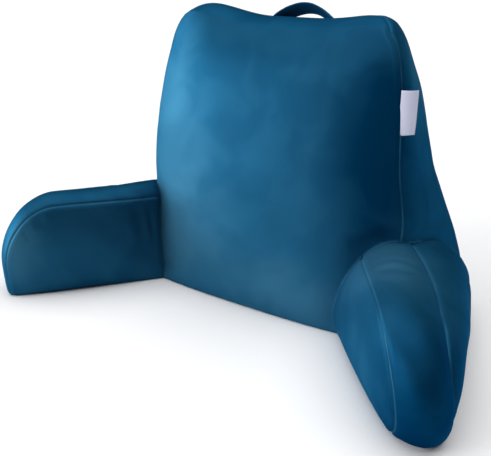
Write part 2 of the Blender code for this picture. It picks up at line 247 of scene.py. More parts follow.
def seam_reach(points, seam):
    """Distance from each point to the nearest point of a seam line, and how far along the line that is.

    The squared distance is p.p + s.s - 2 p.s.
    """
    along = np.concatenate([[0.0], np.cumsum(np.linalg.norm(np.diff(seam, axis=0), axis=1))])
    nearest = np.empty(len(points), dtype=int)
    reach = np.empty(len(points))
    for start in range(0, len(points), REACH_BLOCK):
        block = points[start:start + REACH_BLOCK]
        squares = (block ** 2).sum(1)[:, None] + (seam ** 2).sum(1)[None] - 2 * block @ seam.T
        nearest[start:start + REACH_BLOCK] = squares.argmin(1)
        reach[start:start + REACH_BLOCK] = np.sqrt(np.maximum(squares.min(1), 0))
    return reach, along[nearest]


UNEVEN_DRAWS = 512
UNEVEN_START = 17


def uneven(at, step, seed):
    """Smooth random values along a line, one new value for each step: a cosine blend between seeded draws."""
    draws = np.random.default_rng(seed).uniform(-1, 1, UNEVEN_DRAWS)
    place = np.asarray(at) / step + UNEVEN_START
    low = np.floor(place).astype(int)
    blend = (1 - np.cos(np.pi * (place - low))) / 2
    return draws[low % UNEVEN_DRAWS] * (1 - blend) + draws[(low + 1) % UNEVEN_DRAWS] * blend


UNDULATE_WAVES = 7
UNDULATE_SPREAD = (0.7, 1.4)  # shortest and longest wave, as shares of the wavelength


def undulate(points, wavelength, seed):
    """Soft hills all over: sine waves in random directions, their sum divided by the root of their number."""
    draw = np.random.default_rng(seed)
    total = np.zeros(len(points))
    for _ in range(UNDULATE_WAVES):
        direction = draw.normal(size=3)
        direction *= 2 * np.pi / (wavelength * draw.uniform(*UNDULATE_SPREAD) * np.linalg.norm(direction))
        total += np.sin(points @ direction + draw.uniform(0, 2 * np.pi))
    return total / math.sqrt(UNDULATE_WAVES)


def hills(points, layers):
    """Unevenness of a filled cover: the sum of its layers of soft hills, each with height, wavelength and seed."""
    return sum(height * undulate(points, wavelength, seed) for height, wavelength, seed in layers)


SEAM_DEPTH = 0.0020
SEAM_HALF_WIDTH = 0.0022
SEAM_HIGHLIGHT_WIDTH = 0.0013      # width of the lighter line along a seam: partly the turned pile, partly a painted highlight where the seam catches the light
ALLOWANCE_AT = 0.0085         # where the turned-in edge inside shows through the cloth
ALLOWANCE_WIDTH = 0.0025
ALLOWANCE_LIFT = 0.0003
PUCKER_STEP = 0.011
PUCKER_GROUP = 0.060          # length over which puckers come and go
PUCKER_LIFT = 0.00022
PUCKER_REACH = 0.010
PUCKER_START = 0.004          # how far from the stitches they begin
SEAM_HIGHLIGHT_STEP = 0.018             # length over which the painted highlight of a seam comes and goes


def sew(points, normals, seam, seed, line):
    """Sink a seam: a narrow valley, a faint ridge beside it, and puckers that fade away from it.

    Valley and ridge are bell curves of the distance to the seam, and the puckers are random values along it times
    an exponential fall. The line mask, a narrower bell curve, is kept for the cloth's colour: a lighter line along
    the seam, partly the turned pile and partly a painted highlight where the seam catches the light.
    """
    reach, along = seam_reach(points, seam)
    valley = -SEAM_DEPTH * np.exp(-(reach / SEAM_HALF_WIDTH) ** 2)
    ridge = ALLOWANCE_LIFT * np.exp(-((reach - ALLOWANCE_AT) / ALLOWANCE_WIDTH) ** 2)
    drawn = uneven(along, PUCKER_STEP, seed) * (0.6 + 0.4 * uneven(along, PUCKER_GROUP, seed + 1))
    fade = np.exp(-reach / PUCKER_REACH) * (1 - np.exp(-(reach / PUCKER_START) ** 2))
    lift = valley + ridge + PUCKER_LIFT * drawn * fade
    # a lighter line along the seam, partly the turned pile and partly a painted highlight, stronger and weaker along
    # it
    highlight_strength = 0.75 + 0.25 * uneven(along, SEAM_HIGHLIGHT_STEP, seed + 2)
    line = np.maximum(line, highlight_strength * np.exp(-(reach / SEAM_HIGHLIGHT_WIDTH) ** 2))
    return points + normals * lift[:, None], line


FOLD_STEPS = 80
FOLD_ENDS = 0.7               # power of the sine along a crease: under 1, it keeps its height nearly to its ends


def fold(points, normals, path, lift, width):
    """One soft ridge along a path, or a trough where lift is negative: a bell across it, a sine hump along it."""
    at = np.linspace(0, len(path) - 1, FOLD_STEPS)
    path = np.stack([np.interp(at, np.arange(len(path)), path[:, axis]) for axis in range(3)], axis=1)
    reach, along = seam_reach(points, path)
    share = along / along.max()
    return points + normals * (lift * np.exp(-(reach / width) ** 2) * np.sin(np.pi * share) ** FOLD_ENDS)[:, None]


def painted_light_of(points, strokes):
    """Painted light and shade, laid on as strokes of the pile, + lighter and - darker: a sum of bells."""
    total = np.zeros(len(points))
    for x, y, z, wide, deep, tall, amount in strokes:
        away = (points - np.array((x, y, z))) / np.array((wide, deep, tall))
        total += amount * np.exp(-(away ** 2).sum(1))
    return total


def make_piece(name, points, quads, material, line=None, painted_light=None):
    """A mesh of quads, smooth shaded, with the seam's painted highlight mask and the painted light and shade as
    point attributes.
    """
    mesh = bpy.data.meshes.new(name)
    mesh.vertices.add(len(points))
    mesh.vertices.foreach_set("co", points.astype(np.float32).ravel())
    mesh.loops.add(quads.size)
    mesh.loops.foreach_set("vertex_index", quads.astype(np.int32).ravel())
    mesh.polygons.add(len(quads))
    mesh.polygons.foreach_set("loop_start", np.arange(0, quads.size, 4, dtype=np.int32))
    mesh.update(calc_edges=True)
    if line is not None:
        mesh.attributes.new("seam_highlight", "FLOAT", "POINT").data.foreach_set("value", line.astype(np.float32))
    if painted_light is not None:
        mesh.attributes.new("painted_light", "FLOAT", "POINT").data.foreach_set("value", painted_light.astype(np.float32))
    mesh.shade_smooth()
    mesh.materials.append(material)
    piece = bpy.data.objects.new(name, mesh)
    bpy.context.scene.collection.objects.link(piece)
    return piece


def pile_group():
    """Velvet pile: which way it is brushed, in broad soft patches, and the height of its tufts."""
    group = bpy.data.node_groups.new("velvet_pile", "ShaderNodeTree")
    for name, value in (("Patch Scale", 13.0), ("Tuft Scale", 900.0)):
        socket = group.interface.new_socket(name, in_out="INPUT", socket_type="NodeSocketFloat")
        socket.default_value = value
    for name in ("Brushed", "Height"):
        group.interface.new_socket(name, in_out="OUTPUT", socket_type="NodeSocketFloat")
    nodes, links = group.nodes, group.links
    inside = nodes.new("NodeGroupInput")
    outside = nodes.new("NodeGroupOutput")
    place = nodes.new("ShaderNodeTexCoord")
    patches = nodes.new("ShaderNodeTexNoise")
    patches.inputs["Detail"].default_value = 3.0
    patches.inputs["Roughness"].default_value = 0.45
    patches.inputs["Distortion"].default_value = 0.6
    links.new(place.outputs["Object"], patches.inputs["Vector"])
    links.new(inside.outputs["Patch Scale"], patches.inputs["Scale"])
    soften = nodes.new("ShaderNodeMapRange")
    soften.interpolation_type = "SMOOTHSTEP"
    soften.inputs["From Min"].default_value = 0.36
    soften.inputs["From Max"].default_value = 0.66
    links.new(patches.outputs["Fac"], soften.inputs["Value"])
    links.new(soften.outputs["Result"], outside.inputs["Brushed"])
    tufts = nodes.new("ShaderNodeTexNoise")
    tufts.inputs["Detail"].default_value = 2.0
    links.new(place.outputs["Object"], tufts.inputs["Vector"])
    links.new(inside.outputs["Tuft Scale"], tufts.inputs["Scale"])
    links.new(tufts.outputs["Fac"], outside.inputs["Height"])
    return group


PILE = pile_group()
PILE_METALLIC = 0.72
PILE_ROUGHNESS = 0.57
PILE_TINT = (0.10, 0.50, 0.80)     # colour of light that grazes the pile
PILE_RELIEF = 0.0006          # height of the tufts, and how much of it shows
PILE_RELIEF_SHARE = 0.15
UNPAINTED_TONE = 0.30               # where on the tone ramp the cloth sits where no light or shade is painted, as a share
PAINTED_LIGHT_SHARE = 0.50              # how much a full bell of painted light adds, or of painted shade takes away
PATCH_SHARE = 0.14            # how much the broad soft patches add
VELVET_SHADE_TO_LIGHT = ((0.0002, 0.033, 0.088), (0.0122, 0.085, 0.166), (0.0410, 0.154, 0.252))    # painted shade, middle tone and painted light; the random patches also move along it
VELVET_SEAM_HIGHLIGHT = (0.040, 0.160, 0.270)     # lighter along the seams: partly the turned pile, partly a painted highlight


def velvet(name, seams=True):
    """Dyed velvet: its pile throws light back in its own colour, so the face is part metallic, with a tinted edge.

    The tone is a ramp of three, from painted shade to painted light, picked by the painted light and shade and by
    random patches.
    It is lighter along the seams, partly the turned pile and partly a painted highlight.
    """
    material = bpy.data.materials.new(name)
    material.use_nodes = True
    nodes, links = material.node_tree.nodes, material.node_tree.links
    shader = nodes["Principled BSDF"]
    shader.inputs["Metallic"].default_value = PILE_METALLIC
    shader.inputs["Roughness"].default_value = PILE_ROUGHNESS
    shader.inputs["Specular IOR Level"].default_value = 0.0
    shader.inputs["Specular Tint"].default_value = (*PILE_TINT, 1.0)
    pile = nodes.new("ShaderNodeGroup")
    pile.node_tree = PILE
    tones = nodes.new("ShaderNodeValToRGB")
    tones.color_ramp.elements.new(0.5)
    for stop, place, tone in zip(tones.color_ramp.elements, (0.0, 0.5, 1.0), VELVET_SHADE_TO_LIGHT):
        stop.position = place
        stop.color = (*tone, 1.0)
    # the painted light and shade of the bells, read from the points
    painted_light = nodes.new("ShaderNodeAttribute")
    painted_light.attribute_name = "painted_light"
    painted_tone = nodes.new("ShaderNodeMath")
    painted_tone.operation = "MULTIPLY_ADD"
    painted_tone.inputs[1].default_value = PAINTED_LIGHT_SHARE
    painted_tone.inputs[2].default_value = UNPAINTED_TONE
    links.new(painted_light.outputs["Fac"], painted_tone.inputs[0])
    patched = nodes.new("ShaderNodeMath")
    patched.operation = "MULTIPLY_ADD"
    patched.use_clamp = True
    patched.inputs[1].default_value = PATCH_SHARE
    links.new(pile.outputs["Brushed"], patched.inputs[0])
    links.new(painted_tone.outputs["Value"], patched.inputs[2])
    links.new(patched.outputs["Value"], tones.inputs["Fac"])
    colour = tones.outputs["Color"]
    if seams:
        # a painted highlight along the seams, partly the turned pile's lighter tone
        line = nodes.new("ShaderNodeAttribute")
        line.attribute_name = "seam_highlight"
        seam_highlight_mix = nodes.new("ShaderNodeMix")
        seam_highlight_mix.data_type = "RGBA"
        seam_highlight_mix.inputs["B"].default_value = (*VELVET_SEAM_HIGHLIGHT, 1.0)
        links.new(line.outputs["Fac"], seam_highlight_mix.inputs["Factor"])
        links.new(colour, seam_highlight_mix.inputs["A"])
        colour = seam_highlight_mix.outputs["Result"]
    links.new(colour, shader.inputs["Base Color"])
    bump = nodes.new("ShaderNodeBump")
    bump.inputs["Strength"].default_value = PILE_RELIEF_SHARE
    bump.inputs["Distance"].default_value = PILE_RELIEF
    links.new(pile.outputs["Height"], bump.inputs["Height"])
    links.new(bump.outputs["Normal"], shader.inputs["Normal"])
    return material


cushion_velvet = velvet("velvet")


TOP_SEAM_BACK = 1.45          # how far back the front seam runs along the top, of the gusset's -1..1
TOP_SEAM_TURN = 9             # how close to the corners it leaves the edge, as a power
SEAM_STEPS = 400


def backrest_seam(through, back=0.0):
    """One seam of the gusset, up one side, over the top and down the other.

    It runs at through on the sides and at through + back over the middle of the top.
    """
    rise = np.linspace(0, 1, SEAM_STEPS)
    level = np.linspace(-1, 1, SEAM_STEPS)[1:-1]
    side = np.ones(SEAM_STEPS)
    across = np.concatenate([-side, level, side])
    up = np.concatenate([rise, np.ones(SEAM_STEPS - 2), rise[::-1]])
    drift = np.concatenate([0 * side, back * (1 - np.abs(level) ** TOP_SEAM_TURN), 0 * side])
    return place_backrest(across, through + drift, up)


place, _, quads = box_skin(grid_values(-1, 1, BACK_STEPS[0], GATHER), grid_values(-1, 1, BACK_STEPS[1], GATHER),
                           grid_values(0, 1, BACK_STEPS[2], GATHER))
backrest_points = place_backrest(*place.T)
calm = off_floor(backrest_points)
normals = normals_of(backrest_points, quads)
backrest_points = backrest_points + normals * (hills(backrest_points, BACK_HILLS) * calm)[:, None]
for fold_lift, fold_width, fold_path in BACK_FOLDS:
    backrest_points = fold(backrest_points, normals, np.array(fold_path), fold_lift, fold_width)
# the seams' lighter line: partly the turned pile, partly a painted highlight
seam_highlight = np.zeros(len(backrest_points))
for number, seam in enumerate((backrest_seam(-1.0, TOP_SEAM_BACK), backrest_seam(1.0))):
    backrest_points, seam_highlight = sew(backrest_points, normals, seam, BACK_SEAM_SEED + number, seam_highlight)
backrest_points[:, 2] = np.maximum(backrest_points[:, 2], 0.0)
# the backrest's painted light and shade from its bells goes on as a point attribute
backrest = make_piece("backrest_cushion", backrest_points, quads, cushion_velvet, seam_highlight,
                      painted_light_of(backrest_points, BACK_PAINTED_LIGHT))
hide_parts("backrest")
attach(backrest, "root")

# --- Arm cushions ---------------------------------------------------------------------------------------------
# Two filled velvet cushions that splay forward, each sewn from an inner panel, a strip that runs over the top
# and round the nose to the floor, and an outer panel. Their roots are sewn to the backrest's front corners.
# Runs go along the arm from the backrest's corner, and the other columns are measured across the arm or up.
ArmRow = namedtuple("ArmRow", "run inner_foot inner_seam outer_seam outer_foot "
                              "inner_height outer_height outer_swell")
RIGHT_ROWS = (
    ArmRow(-0.10, 0.000, 0.040, 0.106, 0.190, 0.114, 0.142, 0.034),
    ArmRow(-0.05, 0.000, 0.036, 0.106, 0.212, 0.120, 0.158, 0.062),
    ArmRow(0.00, 0.000, 0.025, 0.102, 0.196, 0.132, 0.155, 0.060),
    ArmRow(0.06, 0.000, 0.009, 0.103, 0.164, 0.147, 0.143, 0.053),
    ArmRow(0.12, 0.000, 0.000, 0.097, 0.127, 0.153, 0.136, 0.047),
    ArmRow(0.20, 0.000, -0.012, 0.077, 0.084, 0.156, 0.132, 0.046),
    ArmRow(0.30, 0.002, -0.026, 0.053, 0.072, 0.147, 0.134, 0.046),
)
LEFT_ROWS = (
    ArmRow(-0.10, -0.005, 0.047, 0.122, 0.186, 0.136, 0.144, 0.020),
    ArmRow(-0.05, -0.005, 0.043, 0.118, 0.208, 0.140, 0.146, 0.036),
    ArmRow(0.00, -0.004, 0.037, 0.108, 0.196, 0.144, 0.144, 0.046),
    ArmRow(0.06, -0.002, 0.021, 0.101, 0.162, 0.150, 0.141, 0.042),
    ArmRow(0.12, 0.000, 0.010, 0.095, 0.128, 0.155, 0.140, 0.038),
    ArmRow(0.20, 0.000, 0.004, 0.082, 0.094, 0.157, 0.141, 0.036),
    ArmRow(0.30, 0.002, 0.000, 0.064, 0.070, 0.146, 0.147, 0.036),
)
ArmShape = namedtuple("ArmShape", "side rows length splay root_x inner_crown strip_crown nose_crown "
                                  "skew undercut root_hump root_flat")
ARM_SHAPES = {                # the splay is in degrees, and root_flat is a share
    "arm_right": ArmShape(1, RIGHT_ROWS, 0.283, 40.2, 0.176, 0.022, 0.014, 0.032, -0.001, 0.034, 0.004, 0.0),
    "arm_left": ArmShape(-1, LEFT_ROWS, 0.278, 39.4, 0.172, 0.020, 0.021, 0.015, 0.020, 0.004, 0.0, 0.9),
}
ARM_FOLDS = {                 # lift and width of each crease, then runs, throughs and ups of its path
    "arm_right": (
        (-0.0010, 0.006, (0.074, 0.072, 0.078), (-0.85, 0.0, 0.85), (1.0, 1.0, 1.0)),
        (0.0009, 0.006, (0.088, 0.087, 0.094), (-0.85, 0.0, 0.85), (1.0, 1.0, 1.0)),
        (-0.0009, 0.007, (0.103, 0.105, 0.108), (-0.85, 0.0, 0.70), (1.0, 1.0, 1.0)),
        (0.0006, 0.008, (0.120, 0.124, 0.122), (-0.80, 0.0, 0.50), (1.0, 1.0, 1.0)),
        (0.0008, 0.007, (0.050, 0.085, 0.110), (-1.0, -1.0, -1.0), (0.82, 0.76, 0.62)),
    ),
    "arm_left": (
        (0.0010, 0.009, (0.070, 0.065, 0.058), (-1.0, -1.0, -1.0), (0.97, 0.80, 0.50)),
        (-0.0010, 0.009, (0.054, 0.049, 0.040), (-1.0, -1.0, -1.0), (0.97, 0.80, 0.45)),
        (0.0011, 0.006, (0.037, 0.034, 0.028), (-1.0, -1.0, -1.0), (0.95, 0.78, 0.50)),
        (-0.0012, 0.006, (0.027, 0.024, 0.021), (-1.0, -1.0, -1.0), (0.95, 0.78, 0.45)),
        (0.0009, 0.004, (0.215, 0.208, 0.198), (-1.0, -1.0, -1.0), (0.99, 0.92, 0.84)),
        (-0.0008, 0.004, (0.228, 0.221, 0.210), (-1.0, -1.0, -1.0), (0.98, 0.90, 0.80)),
        (0.0009, 0.004, (0.243, 0.236, 0.225), (-1.0, -1.0, -1.0), (0.95, 0.86, 0.76)),
        (-0.0008, 0.004, (0.256, 0.249, 0.238), (-1.0, -1.0, -1.0), (0.92, 0.82, 0.70)),
        (-0.0006, 0.005, (0.080, 0.074, 0.070), (-0.80, 0.0, 0.60), (1.0, 1.0, 1.0)),
        (0.0006, 0.005, (0.094, 0.088, 0.084), (-0.80, 0.0, 0.60), (1.0, 1.0, 1.0)),
    ),
}
ARM_PAINTED_LIGHT = {                   # painted light and shade, as the backrest's
    "arm_right": (
        (0.189, -0.039, 0.111, 0.060, 0.060, 0.050, 0.55),
        (0.280, -0.170, 0.070, 0.070, 0.070, 0.060, 0.55),
        (0.258, -0.045, 0.160, 0.075, 0.075, 0.050, 0.95),
        (0.375, -0.235, 0.060, 0.065, 0.085, 0.120, -0.80),
    ),
    "arm_left": (
        (-0.266, -0.138, 0.100, 0.080, 0.100, 0.060, 0.20),
        (-0.340, -0.225, 0.080, 0.034, 0.050, 0.070, 1.00),
    ),
}
ARM_INSIDE_INNER = 0.040      # how far before run 0 the arm's grid begins, at its inner and its outer panel
ARM_INSIDE_OUTER = 0.100
NOSE_ROUND_LONG = 0.088       # the strip rolls over the nose: how far along the arm, and how far down as a share
NOSE_ROUND = 0.64
NOSE_END = 6                  # powers that keep the nose's undercut, skew, swell and tuck close to its end
NOSE_SKEW_END = 3
NOSE_TUCK_END = 8
SIDE_FLATNESS = 2.6
SIDE_ROUNDNESS = 0.9
INNER_LOW = 0.85              # under 1, the inner panel is fullest below its middle
OUTER_HIGH = 1.45             # over 1, the outer panel is fullest above its middle
ROOT_HUMP_AT = -0.04          # the strip is puffed up from here, over this length
ROOT_HUMP_LONG = 0.08
ROOT_FLAT_LONG = 0.07         # how far from the root the inner panel is held flat
ARM_HILLS = ((0.0005, 0.09, 31), (0.0001, 0.04, 32))
ARM_SEAM_SEED = 40
ARM_STEPS = (110, 50, 64)     # along, through, up
ARM_GATHER = 0.6
ROOT_GAP = 0.0006             # between an arm and the backrest


def arm_start(outer):
    """Where the arm's grid begins, as a run, from its inner panel at outer 0 to its outer panel at 1."""
    return -ARM_INSIDE_INNER - (ARM_INSIDE_OUTER - ARM_INSIDE_INNER) * outer


def place_arm(shape, along, through, up):
    """Box to arm: along 0 root..1 nose, through -1 inner..+1 outer, up 0..1.

    The strip's seams follow the rows. The nose's upper corner is rounded by x sqrt(1 - y^2 / 2) and
    y sqrt(1 - x^2 / 2), which turn a square's corner into a quarter circle. The strip swells outwards all the
    way over it, and each side panel swells between its seams.
    """
    outer = (through + 1) / 2
    start = arm_start(outer)
    corner_x = np.clip(1 - (shape.length - start) * (1 - along) / NOSE_ROUND_LONG, 0, 1)
    corner_y = np.clip(1 - (1 - up) / NOSE_ROUND, 0, 1)
    ahead = corner_x * np.sqrt(1 - corner_y ** 2 / 2)
    above = corner_y * np.sqrt(1 - corner_x ** 2 / 2)
    run = start + (shape.length - start) * along + (ahead - corner_x) * NOSE_ROUND_LONG
    run = run - shape.undercut * (1 - up) ** NOSE_END * along ** NOSE_END
    run = run - shape.skew * outer * along ** NOSE_SKEW_END
    tall = (1 - outer) * read_rows(shape.rows, "inner_height", run)
    tall = tall + outer * read_rows(shape.rows, "outer_height", run)
    share = up + (above - corner_y) * NOSE_ROUND
    z = tall * share
    tuck = floor_tuck(z)
    run = run - tuck * along ** NOSE_TUCK_END

    inner_foot = read_rows(shape.rows, "inner_foot", run)
    inner_side = inner_foot + (read_rows(shape.rows, "inner_seam", run) - inner_foot) * share + tuck
    outer_foot = read_rows(shape.rows, "outer_foot", run)
    outer_side = outer_foot + (read_rows(shape.rows, "outer_seam", run) - outer_foot) * share - tuck
    near_nose = swell(along, NOSE_END, SIDE_ROUNDNESS)
    inner_swell = shape.inner_crown * (1 - np.abs(2 * up ** INNER_LOW - 1) ** SIDE_FLATNESS)
    inner_swell = inner_swell * (1 - shape.root_flat * np.exp(-(np.maximum(run, 0) / ROOT_FLAT_LONG) ** 2))
    outer_swell = read_rows(shape.rows, "outer_swell", run) * (1 - np.abs(2 * up ** OUTER_HIGH - 1) ** SIDE_FLATNESS)
    beside = (1 - outer) * inner_side + outer * outer_side
    beside = beside + near_nose * (outer_swell * outer ** 2 - inner_swell * (1 - outer) ** 2)

    between_seams = swell(through, 2, SIDE_ROUNDNESS)
    hump = shape.root_hump * np.exp(-(np.maximum(run - ROOT_HUMP_AT, 0) / ROOT_HUMP_LONG) ** 2)
    lift = between_seams * ((shape.strip_crown + hump) * above ** 2 + shape.nose_crown * ahead ** 2)
    z = z + lift * above
    run = run + lift * ahead
    angle = math.radians(shape.splay)
    x = shape.root_x + run * math.sin(angle) + beside * math.cos(angle)
    y = -run * math.cos(angle) + beside * math.sin(angle)
    return np.stack([shape.side * x, y, z], axis=1) - OUTLINE_CENTRE


ROOT_WALK_FROM = 0.6
ROOT_FOOT = 0.02              # grid lines lower than this are walked at this height, clear of the floor


def root_of(shape, tree, through, up, legs=30):
    """Where lengthwise grid lines of the arm meet the backrest: each is walked from past its middle to its root."""
    path = np.linspace(ROOT_WALK_FROM, 0.0, legs + 1)
    met = np.zeros(len(through))
    for number, (b, c) in enumerate(zip(through, up)):
        line = place_arm(shape, path, np.full(legs + 1, b), np.full(legs + 1, max(c, ROOT_FOOT)))
        for leg in range(legs):
            start, step = Vector(line[leg]), Vector(line[leg + 1] - line[leg])
            hit = tree.ray_cast(start, step.normalized(), step.length)
            if hit[0] is not None:
                share = (hit[3] - ROOT_GAP) / step.length
                met[number] = path[leg] + (path[leg + 1] - path[leg]) * share
                break
    return met


def root_ring(shape, tree, steps=40, finer=6):
    """The line along which an arm's panels are sewn to the backrest: up its inner side, over and down its outer."""
    rise, level = np.linspace(0, 1, steps), np.linspace(-1, 1, steps)[1:-1]
    through = np.concatenate([-np.ones(steps), level, np.ones(steps)])
    up = np.concatenate([rise, np.ones(steps - 2), rise[::-1]])
    ring = place_arm(shape, root_of(shape, tree, through, up), through, up)
    at = np.arange(len(ring))
    fine = np.linspace(0, len(ring) - 1, finer * len(ring))
    return np.stack([np.interp(fine, at, ring[:, axis]) for axis in range(3)], axis=1)


ROOT_PINCH = 0.0016           # how far an arm is drawn in at its root seam
ROOT_PINCH_WIDTH = 0.006
ROOT_VALLEY = 0.0008          # and the backrest
ROOT_HOLLOW = 0.0050
ROOT_HOLLOW_WIDTH = 0.022
ROOT_HOLLOW_STEP = 0.05
ROOT_HOLLOW_SEED = 61
# the painted highlight along an arm's root seam comes and goes over this length
ROOT_HIGHLIGHT_STEP = 0.03
ROOT_HIGHLIGHT_SEED = 63
ROOT_HIGHLIGHT = 0.5               # how strong the painted highlight along the root seam is on the backrest


def sink_roots(points, normals, tree, line):
    """Draw the backrest in along both arms' root seams: a narrow valley in a broad soft hollow, with a painted
    highlight along each seam, partly the turned pile.
    """
    for shape in ARM_SHAPES.values():
        reach, along = seam_reach(points, root_ring(shape, tree))
        varied = 0.8 + 0.2 * uneven(along, ROOT_HOLLOW_STEP, ROOT_HOLLOW_SEED)
        hollow = ROOT_HOLLOW * varied * np.exp(-(reach / ROOT_HOLLOW_WIDTH) ** 2)
        valley = ROOT_VALLEY * np.exp(-(reach / ROOT_PINCH_WIDTH) ** 2)
        points = points - normals * ((hollow + valley) * off_floor(points))[:, None]
        line = np.maximum(line, ROOT_HIGHLIGHT * np.exp(-(reach / SEAM_HIGHLIGHT_WIDTH) ** 2))
    return points, line


normals = normals_of(backrest_points, quads)
outline_tree = BVHTree.FromPolygons(backrest_points.tolist(), quads.tolist())
backrest_points, seam_highlight = sink_roots(backrest_points, normals, outline_tree, seam_highlight)
backrest.data.vertices.foreach_set("co", backrest_points.astype(np.float32).ravel())
backrest.data.attributes["seam_highlight"].data.foreach_set("value", seam_highlight.astype(np.float32))
backrest.data.update()
sunk_tree = BVHTree.FromPolygons(backrest_points.tolist(), quads.tolist())


def make_arm_piece(name):
    """One arm: its grid ends on the sunk backrest, then come hills, creases, the strip's seams and the root seam."""
    shape = ARM_SHAPES[name]
    through = grid_values(-1, 1, ARM_STEPS[1], GATHER)
    up = grid_values(0, 1, ARM_STEPS[2], GATHER)
    place, index, quads = box_skin(grid_values(0, 1, ARM_STEPS[0], ARM_GATHER), through, up)
    if shape.side < 0:
        quads = quads[:, ::-1]
    lines = np.meshgrid(through, up, indexing="ij")
    root = root_of(shape, sunk_tree, lines[0].ravel(), lines[1].ravel()).reshape(lines[0].shape)
    root = root[index[:, 1], index[:, 2]]
    along = root + (1 - root) * place[:, 0]
    points = place_arm(shape, along, place[:, 1], place[:, 2])
    normals = normals_of(points, quads)
    calm = off_floor(points)
    points = points + normals * (hills(points, ARM_HILLS) * calm)[:, None]
    for fold_lift, fold_width, *path in ARM_FOLDS[name]:
        runs, throughs, ups = np.array(path)
        begin = arm_start((throughs + 1) / 2)
        path = place_arm(shape, (runs - begin) / (shape.length - begin), throughs, ups)
        points = fold(points, normals, path, fold_lift, fold_width)
    line = np.zeros(len(points))
    for number, side in enumerate((0, ARM_STEPS[1])):
        on_top = (index[:, 1] == side) & (index[:, 2] == ARM_STEPS[2])
        on_nose = (index[:, 1] == side) & (index[:, 0] == ARM_STEPS[0]) & (index[:, 2] < ARM_STEPS[2])
        top = points[on_top][np.argsort(place[on_top, 0])]
        nose = points[on_nose][np.argsort(-place[on_nose, 2])]
        points, line = sew(points, normals, np.concatenate([top, nose]), ARM_SEAM_SEED + number, line)
    reach, along_root = seam_reach(points, root_ring(shape, sunk_tree))
    points = points - normals * (ROOT_PINCH * np.exp(-(reach / ROOT_PINCH_WIDTH) ** 2) * calm)[:, None]
    # a painted highlight along the root seam, partly the turned pile, stronger and weaker along it
    highlight_strength = 0.55 + 0.35 * uneven(along_root, ROOT_HIGHLIGHT_STEP, ROOT_HIGHLIGHT_SEED)
    line = np.maximum(line, highlight_strength * np.exp(-(reach / SEAM_HIGHLIGHT_WIDTH) ** 2))
    points[:, 2] = np.maximum(points[:, 2], 0.0)
    # the arm's painted light and shade from its bells goes on as a point attribute
    arm = make_piece(name + "_cushion", points, quads, cushion_velvet, line, painted_light_of(points, ARM_PAINTED_LIGHT[name]))
    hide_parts(name)
    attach(arm, "root")


for arm_name in ARM_SHAPES:
    make_arm_piece(arm_name)

# --- Handle ---------------------------------------------------------------------------------------------------
# A carry strap folded from the same velvet. Both ends are sewn into the top seam, and between them it stands up
# as a low arch whose face turns to the front as it climbs.
StrapRow = namedtuple("StrapRow", "along x y z wide_x wide_y wide_z")
STRAP_ROWS = (                # middle of the strap, and the way and distance from one edge to the other
    StrapRow(0.00, -0.0600, 0.1450, 0.4460, -0.0220, 0.0000, 0.0030),
    StrapRow(0.12, -0.0520, 0.1460, 0.4535, -0.0160, -0.0100, 0.0085),
    StrapRow(0.30, -0.0290, 0.1500, 0.4670, -0.0045, -0.0170, 0.0180),
    StrapRow(0.50, 0.0045, 0.1510, 0.4748, -0.0035, -0.0180, 0.0185),
    StrapRow(0.68, 0.0290, 0.1505, 0.4692, -0.0020, -0.0175, 0.0180),
    StrapRow(0.85, 0.0480, 0.1450, 0.4580, 0.0080, -0.0120, 0.0130),
    StrapRow(1.00, 0.0570, 0.1410, 0.4480, 0.0200, 0.0000, 0.0040),
)
STRAP_THICKNESS = 0.0040
STRAP_EDGE = 0.30             # how thick its folded edges are, as a share
STRAP_STITCH_AT = 0.76        # the two rows of stitching, from the middle to an edge
STRAP_STITCH_WIDTH = 0.07
STRAP_STITCH_DEPTH = 0.0004
STRAP_HILLS = ((0.00035, 0.025, 71),)
STRAP_GATHER = 0.6
STRAP_SMALL = 0.004           # step along, as a share, from which its direction is read
STRAP_STEPS = (150, 28, 8)    # along, across, through


def strap_columns(along, *names):
    """Several columns of the strap's rows side by side, as points or directions."""
    return np.stack([read_rows(STRAP_ROWS, name, along) for name in names], axis=1)


def place_strap(along, across, through):
    """Box to strap: along 0..1, across -1..1 of its width, through -1..1 of its thickness.

    Each point is the middle line, plus a share of the width, plus a share of the thickness along their cross
    product. The thickness falls off to the folded edges as sqrt(1 - across^4), and sinks along the stitching.
    """
    middle = strap_columns(along, "x", "y", "z")
    ahead = strap_columns(along + STRAP_SMALL, "x", "y", "z") - strap_columns(along - STRAP_SMALL, "x", "y", "z")
    wide = strap_columns(along, "wide_x", "wide_y", "wide_z")
    face = np.cross(ahead, wide)
    face /= np.linalg.norm(face, axis=1, keepdims=True)
    thick = STRAP_EDGE + (1 - STRAP_EDGE) * np.sqrt(1 - across ** 4)
    stitched = STRAP_STITCH_DEPTH * np.exp(-((np.abs(across) - STRAP_STITCH_AT) / STRAP_STITCH_WIDTH) ** 2)
    lift = through * (STRAP_THICKNESS / 2 * thick - stitched)
    return middle + wide * (across / 2)[:, None] + face * lift[:, None]


def make_strap():
    """The strap with its soft unevenness. Its middle line is read at 200 points, which nothing uses."""
    place, _, quads = box_skin(np.linspace(0, 1, STRAP_STEPS[0] + 1),
                               grid_values(-1, 1, STRAP_STEPS[1], STRAP_GATHER),
                               np.linspace(-1, 1, STRAP_STEPS[2] + 1))
    points = place_strap(*place.T)
    normals = normals_of(points, quads)
    points = points + normals * hills(points, STRAP_HILLS)[:, None]
    strap = make_piece("handle_strap", points, quads, velvet("handle_velvet", seams=False))
    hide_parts("handle")
    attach(strap, "root")
    middle = strap_columns(np.linspace(0, 1, 200), "x", "y", "z")


make_strap()

